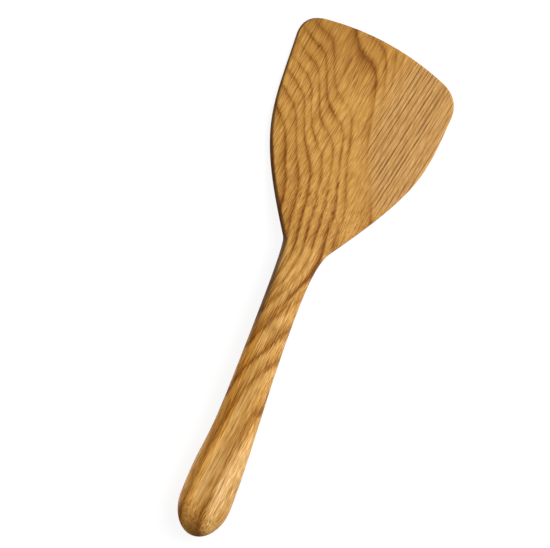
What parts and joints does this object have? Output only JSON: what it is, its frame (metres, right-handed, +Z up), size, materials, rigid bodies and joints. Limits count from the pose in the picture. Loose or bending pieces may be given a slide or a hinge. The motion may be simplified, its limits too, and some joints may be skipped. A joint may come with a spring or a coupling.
{
  "type": "wooden spatula",
  "caption": "One-piece wooden spatula: a rounded handle that swells at the butt, a narrow throat and a thin blade fanning out to a bowed, slanted front edge, for turning and scraping food.",
  "frame": {"origin": "on the blade's flat underside, on the handle's axis", "axes": "+Y along the tool from the handle to the front edge, +Z up out of the blade's top face, +X to the right seen from above with the front edge away"},
  "size_m": [0.0989, 0.3, 0.02],
  "materials": {
    "oak": "oiled and sanded smooth, satin"
  },
  "bodies": {
    "root": {"spatula": "oak"}
  },
  "joints": []
}
